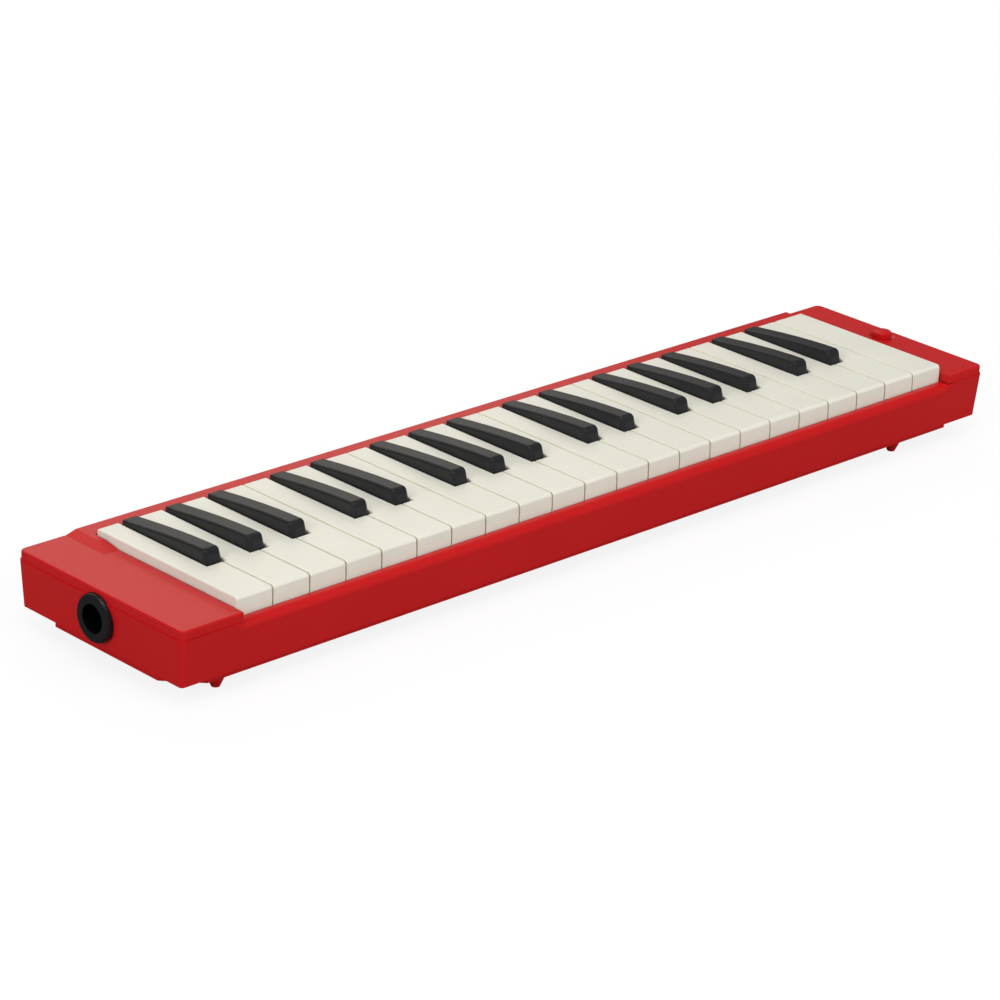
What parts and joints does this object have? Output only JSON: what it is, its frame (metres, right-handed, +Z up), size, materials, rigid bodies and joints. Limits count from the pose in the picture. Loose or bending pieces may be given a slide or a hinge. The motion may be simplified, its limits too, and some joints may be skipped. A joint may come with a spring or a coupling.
{
  "type": "melodica",
  "caption": "Keyboard wind instrument: a long shallow case with hinged piano keys over a reed chest, a mouth socket at one end and a drain button at the other.",
  "frame": {"origin": "middle of the whole footprint, mouth ring included, on the surface that the feet stand on", "axes": "+X from the low notes to the high notes, +Y from the player to the back rail, +Z up"},
  "size_m": [0.491, 0.1044, 0.0434],
  "materials": {
    "red_abs": "glossy moulded ABS",
    "white_key": "glossy moulded plastic, slightly warm",
    "black_key": "satin moulded plastic",
    "chest_plastic": "plain moulded plastic",
    "socket_black": "matt moulded plastic",
    "seal_rubber": "moulded rubber",
    "plate_aluminium": "rolled sheet",
    "reed_brass": "ground strip",
    "spring_bronze": "rolled strip",
    "steel": "plated",
    "felt": "pressed wool felt"
  },
  "bodies": {
    "case": {"upper_case": "red_abs", "bottom_cover": "red_abs", "wind_chest": "chest_plastic", "chest_gasket": "seal_rubber", "chest_cover": "chest_plastic", "reed_plate_low": "plate_aluminium", "reed_plate_high": "plate_aluminium", "reeds": "reed_brass", "reed_rivets": "reed_brass", "pivot_rod": "steel", "spring_comb": "spring_bronze", "key_frame": "chest_plastic", "white_key_felt": "felt", "black_key_felt": "felt", "mouth_socket": "socket_black", "socket_oring": "seal_rubber", "drain_spring": "steel", "case_screws": "steel", "chest_screws": "steel", "plate_screws": "steel"},
    "drain_button": {"drain_button": "red_abs", "drain_seal": "seal_rubber"},
    "key_f3": {"key_f3": "white_key"},
    "key_fs3": {"key_fs3": "black_key"},
    "key_g3": {"key_g3": "white_key"},
    "key_gs3": {"key_gs3": "black_key"},
    "key_a3": {"key_a3": "white_key"},
    "key_as3": {"key_as3": "black_key"},
    "key_b3": {"key_b3": "white_key"},
    "key_c4": {"key_c4": "white_key"},
    "key_cs4": {"key_cs4": "black_key"},
    "key_d4": {"key_d4": "white_key"},
    "key_ds4": {"key_ds4": "black_key"},
    "key_e4": {"key_e4": "white_key"},
    "key_f4": {"key_f4": "white_key"},
    "key_fs4": {"key_fs4": "black_key"},
    "key_g4": {"key_g4": "white_key"},
    "key_gs4": {"key_gs4": "black_key"},
    "key_a4": {"key_a4": "white_key"},
    "key_as4": {"key_as4": "black_key"},
    "key_b4": {"key_b4": "white_key"},
    "key_c5": {"key_c5": "white_key"},
    "key_cs5": {"key_cs5": "black_key"},
    "key_d5": {"key_d5": "white_key"},
    "key_ds5": {"key_ds5": "black_key"},
    "key_e5": {"key_e5": "white_key"},
    "key_f5": {"key_f5": "white_key"},
    "key_fs5": {"key_fs5": "black_key"},
    "key_g5": {"key_g5": "white_key"},
    "key_gs5": {"key_gs5": "black_key"},
    "key_a5": {"key_a5": "white_key"},
    "key_as5": {"key_as5": "black_key"},
    "key_b5": {"key_b5": "white_key"},
    "key_c6": {"key_c6": "white_key"},
    "key_cs6": {"key_cs6": "black_key"},
    "key_d6": {"key_d6": "white_key"},
    "key_ds6": {"key_ds6": "black_key"},
    "key_e6": {"key_e6": "white_key"},
    "key_f6": {"key_f6": "white_key"}
  },
  "joints": [
    {"name": "key_f3_hinge", "type": "hinge", "parent": "case", "child": "key_f3", "pos_m": [-0.20615, 0.0258, 0.027], "axis": [1, 0, 0], "range_deg": [0, 4], "stiffness_Nm_per_rad": 0.4, "springref_deg": -5.16},
    {"name": "key_fs3_hinge", "type": "hinge", "parent": "case", "child": "key_fs3", "pos_m": [-0.19472, 0.0258, 0.027], "axis": [1, 0, 0], "range_deg": [0, 4], "stiffness_Nm_per_rad": 0.4, "springref_deg": -5.16},
    {"name": "key_g3_hinge", "type": "hinge", "parent": "case", "child": "key_g3", "pos_m": [-0.18328, 0.0258, 0.027], "axis": [1, 0, 0], "range_deg": [0, 4], "stiffness_Nm_per_rad": 0.4, "springref_deg": -5.16},
    {"name": "key_gs3_hinge", "type": "hinge", "parent": "case", "child": "key_gs3", "pos_m": [-0.17185, 0.0258, 0.027], "axis": [1, 0, 0], "range_deg": [0, 4], "stiffness_Nm_per_rad": 0.4, "springref_deg": -5.16},
    {"name": "key_a3_hinge", "type": "hinge", "parent": "case", "child": "key_a3", "pos_m": [-0.16042, 0.0258, 0.027], "axis": [1, 0, 0], "range_deg": [0, 4], "stiffness_Nm_per_rad": 0.4, "springref_deg": -5.16},
    {"name": "key_as3_hinge", "type": "hinge", "parent": "case", "child": "key_as3", "pos_m": [-0.14898, 0.0258, 0.027], "axis": [1, 0, 0], "range_deg": [0, 4], "stiffness_Nm_per_rad": 0.4, "springref_deg": -5.16},
    {"name": "key_b3_hinge", "type": "hinge", "parent": "case", "child": "key_b3", "pos_m": [-0.13755, 0.0258, 0.027], "axis": [1, 0, 0], "range_deg": [0, 4], "stiffness_Nm_per_rad": 0.4, "springref_deg": -5.16},
    {"name": "key_c4_hinge", "type": "hinge", "parent": "case", "child": "key_c4", "pos_m": [-0.12612, 0.0258, 0.027], "axis": [1, 0, 0], "range_deg": [0, 4], "stiffness_Nm_per_rad": 0.4, "springref_deg": -5.16},
    {"name": "key_cs4_hinge", "type": "hinge", "parent": "case", "child": "key_cs4", "pos_m": [-0.11468, 0.0258, 0.027], "axis": [1, 0, 0], "range_deg": [0, 4], "stiffness_Nm_per_rad": 0.4, "springref_deg": -5.16},
    {"name": "key_d4_hinge", "type": "hinge", "parent": "case", "child": "key_d4", "pos_m": [-0.10325, 0.0258, 0.027], "axis": [1, 0, 0], "range_deg": [0, 4], "stiffness_Nm_per_rad": 0.4, "springref_deg": -5.16},
    {"name": "key_ds4_hinge", "type": "hinge", "parent": "case", "child": "key_ds4", "pos_m": [-0.09182, 0.0258, 0.027], "axis": [1, 0, 0], "range_deg": [0, 4], "stiffness_Nm_per_rad": 0.4, "springref_deg": -5.16},
    {"name": "key_e4_hinge", "type": "hinge", "parent": "case", "child": "key_e4", "pos_m": [-0.08038, 0.0258, 0.027], "axis": [1, 0, 0], "range_deg": [0, 4], "stiffness_Nm_per_rad": 0.4, "springref_deg": -5.16},
    {"name": "key_f4_hinge", "type": "hinge", "parent": "case", "child": "key_f4", "pos_m": [-0.06895, 0.0258, 0.027], "axis": [1, 0, 0], "range_deg": [0, 4], "stiffness_Nm_per_rad": 0.4, "springref_deg": -5.16},
    {"name": "key_fs4_hinge", "type": "hinge", "parent": "case", "child": "key_fs4", "pos_m": [-0.05752, 0.0258, 0.027], "axis": [1, 0, 0], "range_deg": [0, 4], "stiffness_Nm_per_rad": 0.4, "springref_deg": -5.16},
    {"name": "key_g4_hinge", "type": "hinge", "parent": "case", "child": "key_g4", "pos_m": [-0.04608, 0.0258, 0.027], "axis": [1, 0, 0], "range_deg": [0, 4], "stiffness_Nm_per_rad": 0.4, "springref_deg": -5.16},
    {"name": "key_gs4_hinge", "type": "hinge", "parent": "case", "child": "key_gs4", "pos_m": [-0.03465, 0.0258, 0.027], "axis": [1, 0, 0], "range_deg": [0, 4], "stiffness_Nm_per_rad": 0.4, "springref_deg": -5.16},
    {"name": "key_a4_hinge", "type": "hinge", "parent": "case", "child": "key_a4", "pos_m": [-0.02322, 0.0258, 0.027], "axis": [1, 0, 0], "range_deg": [0, 4], "stiffness_Nm_per_rad": 0.4, "springref_deg": -5.16},
    {"name": "key_as4_hinge", "type": "hinge", "parent": "case", "child": "key_as4", "pos_m": [-0.01178, 0.0258, 0.027], "axis": [1, 0, 0], "range_deg": [0, 4], "stiffness_Nm_per_rad": 0.4, "springref_deg": -5.16},
    {"name": "key_b4_hinge", "type": "hinge", "parent": "case", "child": "key_b4", "pos_m": [-0.00035, 0.0258, 0.027], "axis": [1, 0, 0], "range_deg": [0, 4], "stiffness_Nm_per_rad": 0.4, "springref_deg": -5.16},
    {"name": "key_c5_hinge", "type": "hinge", "parent": "case", "child": "key_c5", "pos_m": [0.01108, 0.0258, 0.027], "axis": [1, 0, 0], "range_deg": [0, 4], "stiffness_Nm_per_rad": 0.4, "springref_deg": -5.16},
    {"name": "key_cs5_hinge", "type": "hinge", "parent": "case", "child": "key_cs5", "pos_m": [0.02252, 0.0258, 0.027], "axis": [1, 0, 0], "range_deg": [0, 4], "stiffness_Nm_per_rad": 0.4, "springref_deg": -5.16},
    {"name": "key_d5_hinge", "type": "hinge", "parent": "case", "child": "key_d5", "pos_m": [0.03395, 0.0258, 0.027], "axis": [1, 0, 0], "range_deg": [0, 4], "stiffness_Nm_per_rad": 0.4, "springref_deg": -5.16},
    {"name": "key_ds5_hinge", "type": "hinge", "parent": "case", "child": "key_ds5", "pos_m": [0.04538, 0.0258, 0.027], "axis": [1, 0, 0], "range_deg": [0, 4], "stiffness_Nm_per_rad": 0.4, "springref_deg": -5.16},
    {"name": "key_e5_hinge", "type": "hinge", "parent": "case", "child": "key_e5", "pos_m": [0.05682, 0.0258, 0.027], "axis": [1, 0, 0], "range_deg": [0, 4], "stiffness_Nm_per_rad": 0.4, "springref_deg": -5.16},
    {"name": "key_f5_hinge", "type": "hinge", "parent": "case", "child": "key_f5", "pos_m": [0.06825, 0.0258, 0.027], "axis": [1, 0, 0], "range_deg": [0, 4], "stiffness_Nm_per_rad": 0.4, "springref_deg": -5.16},
    {"name": "key_fs5_hinge", "type": "hinge", "parent": "case", "child": "key_fs5", "pos_m": [0.07968, 0.0258, 0.027], "axis": [1, 0, 0], "range_deg": [0, 4], "stiffness_Nm_per_rad": 0.4, "springref_deg": -5.16},
    {"name": "key_g5_hinge", "type": "hinge", "parent": "case", "child": "key_g5", "pos_m": [0.09112, 0.0258, 0.027], "axis": [1, 0, 0], "range_deg": [0, 4], "stiffness_Nm_per_rad": 0.4, "springref_deg": -5.16},
    {"name": "key_gs5_hinge", "type": "hinge", "parent": "case", "child": "key_gs5", "pos_m": [0.10255, 0.0258, 0.027], "axis": [1, 0, 0], "range_deg": [0, 4], "stiffness_Nm_per_rad": 0.4, "springref_deg": -5.16},
    {"name": "key_a5_hinge", "type": "hinge", "parent": "case", "child": "key_a5", "pos_m": [0.11398, 0.0258, 0.027], "axis": [1, 0, 0], "range_deg": [0, 4], "stiffness_Nm_per_rad": 0.4, "springref_deg": -5.16},
    {"name": "key_as5_hinge", "type": "hinge", "parent": "case", "child": "key_as5", "pos_m": [0.12542, 0.0258, 0.027], "axis": [1, 0, 0], "range_deg": [0, 4], "stiffness_Nm_per_rad": 0.4, "springref_deg": -5.16},
    {"name": "key_b5_hinge", "type": "hinge", "parent": "case", "child": "key_b5", "pos_m": [0.13685, 0.0258, 0.027], "axis": [1, 0, 0], "range_deg": [0, 4], "stiffness_Nm_per_rad": 0.4, "springref_deg": -5.16},
    {"name": "key_c6_hinge", "type": "hinge", "parent": "case", "child": "key_c6", "pos_m": [0.14828, 0.0258, 0.027], "axis": [1, 0, 0], "range_deg": [0, 4], "stiffness_Nm_per_rad": 0.4, "springref_deg": -5.16},
    {"name": "key_cs6_hinge", "type": "hinge", "parent": "case", "child": "key_cs6", "pos_m": [0.15972, 0.0258, 0.027], "axis": [1, 0, 0], "range_deg": [0, 4], "stiffness_Nm_per_rad": 0.4, "springref_deg": -5.16},
    {"name": "key_d6_hinge", "type": "hinge", "parent": "case", "child": "key_d6", "pos_m": [0.17115, 0.0258, 0.027], "axis": [1, 0, 0], "range_deg": [0, 4], "stiffness_Nm_per_rad": 0.4, "springref_deg": -5.16},
    {"name": "key_ds6_hinge", "type": "hinge", "parent": "case", "child": "key_ds6", "pos_m": [0.18258, 0.0258, 0.027], "axis": [1, 0, 0], "range_deg": [0, 4], "stiffness_Nm_per_rad": 0.4, "springref_deg": -5.16},
    {"name": "key_e6_hinge", "type": "hinge", "parent": "case", "child": "key_e6", "pos_m": [0.19402, 0.0258, 0.027], "axis": [1, 0, 0], "range_deg": [0, 4], "stiffness_Nm_per_rad": 0.4, "springref_deg": -5.16},
    {"name": "key_f6_hinge", "type": "hinge", "parent": "case", "child": "key_f6", "pos_m": [0.20545, 0.0258, 0.027], "axis": [1, 0, 0], "range_deg": [0, 4], "stiffness_Nm_per_rad": 0.4, "springref_deg": -5.16},
    {"name": "drain_button_slide", "type": "slide", "parent": "case", "child": "drain_button", "axis": [0, 0, -1], "range_m": [0, 0.0018], "stiffness_N_per_m": 700, "springref_m": -0.0017, "deforming": ["drain_spring"]}
  ]
}
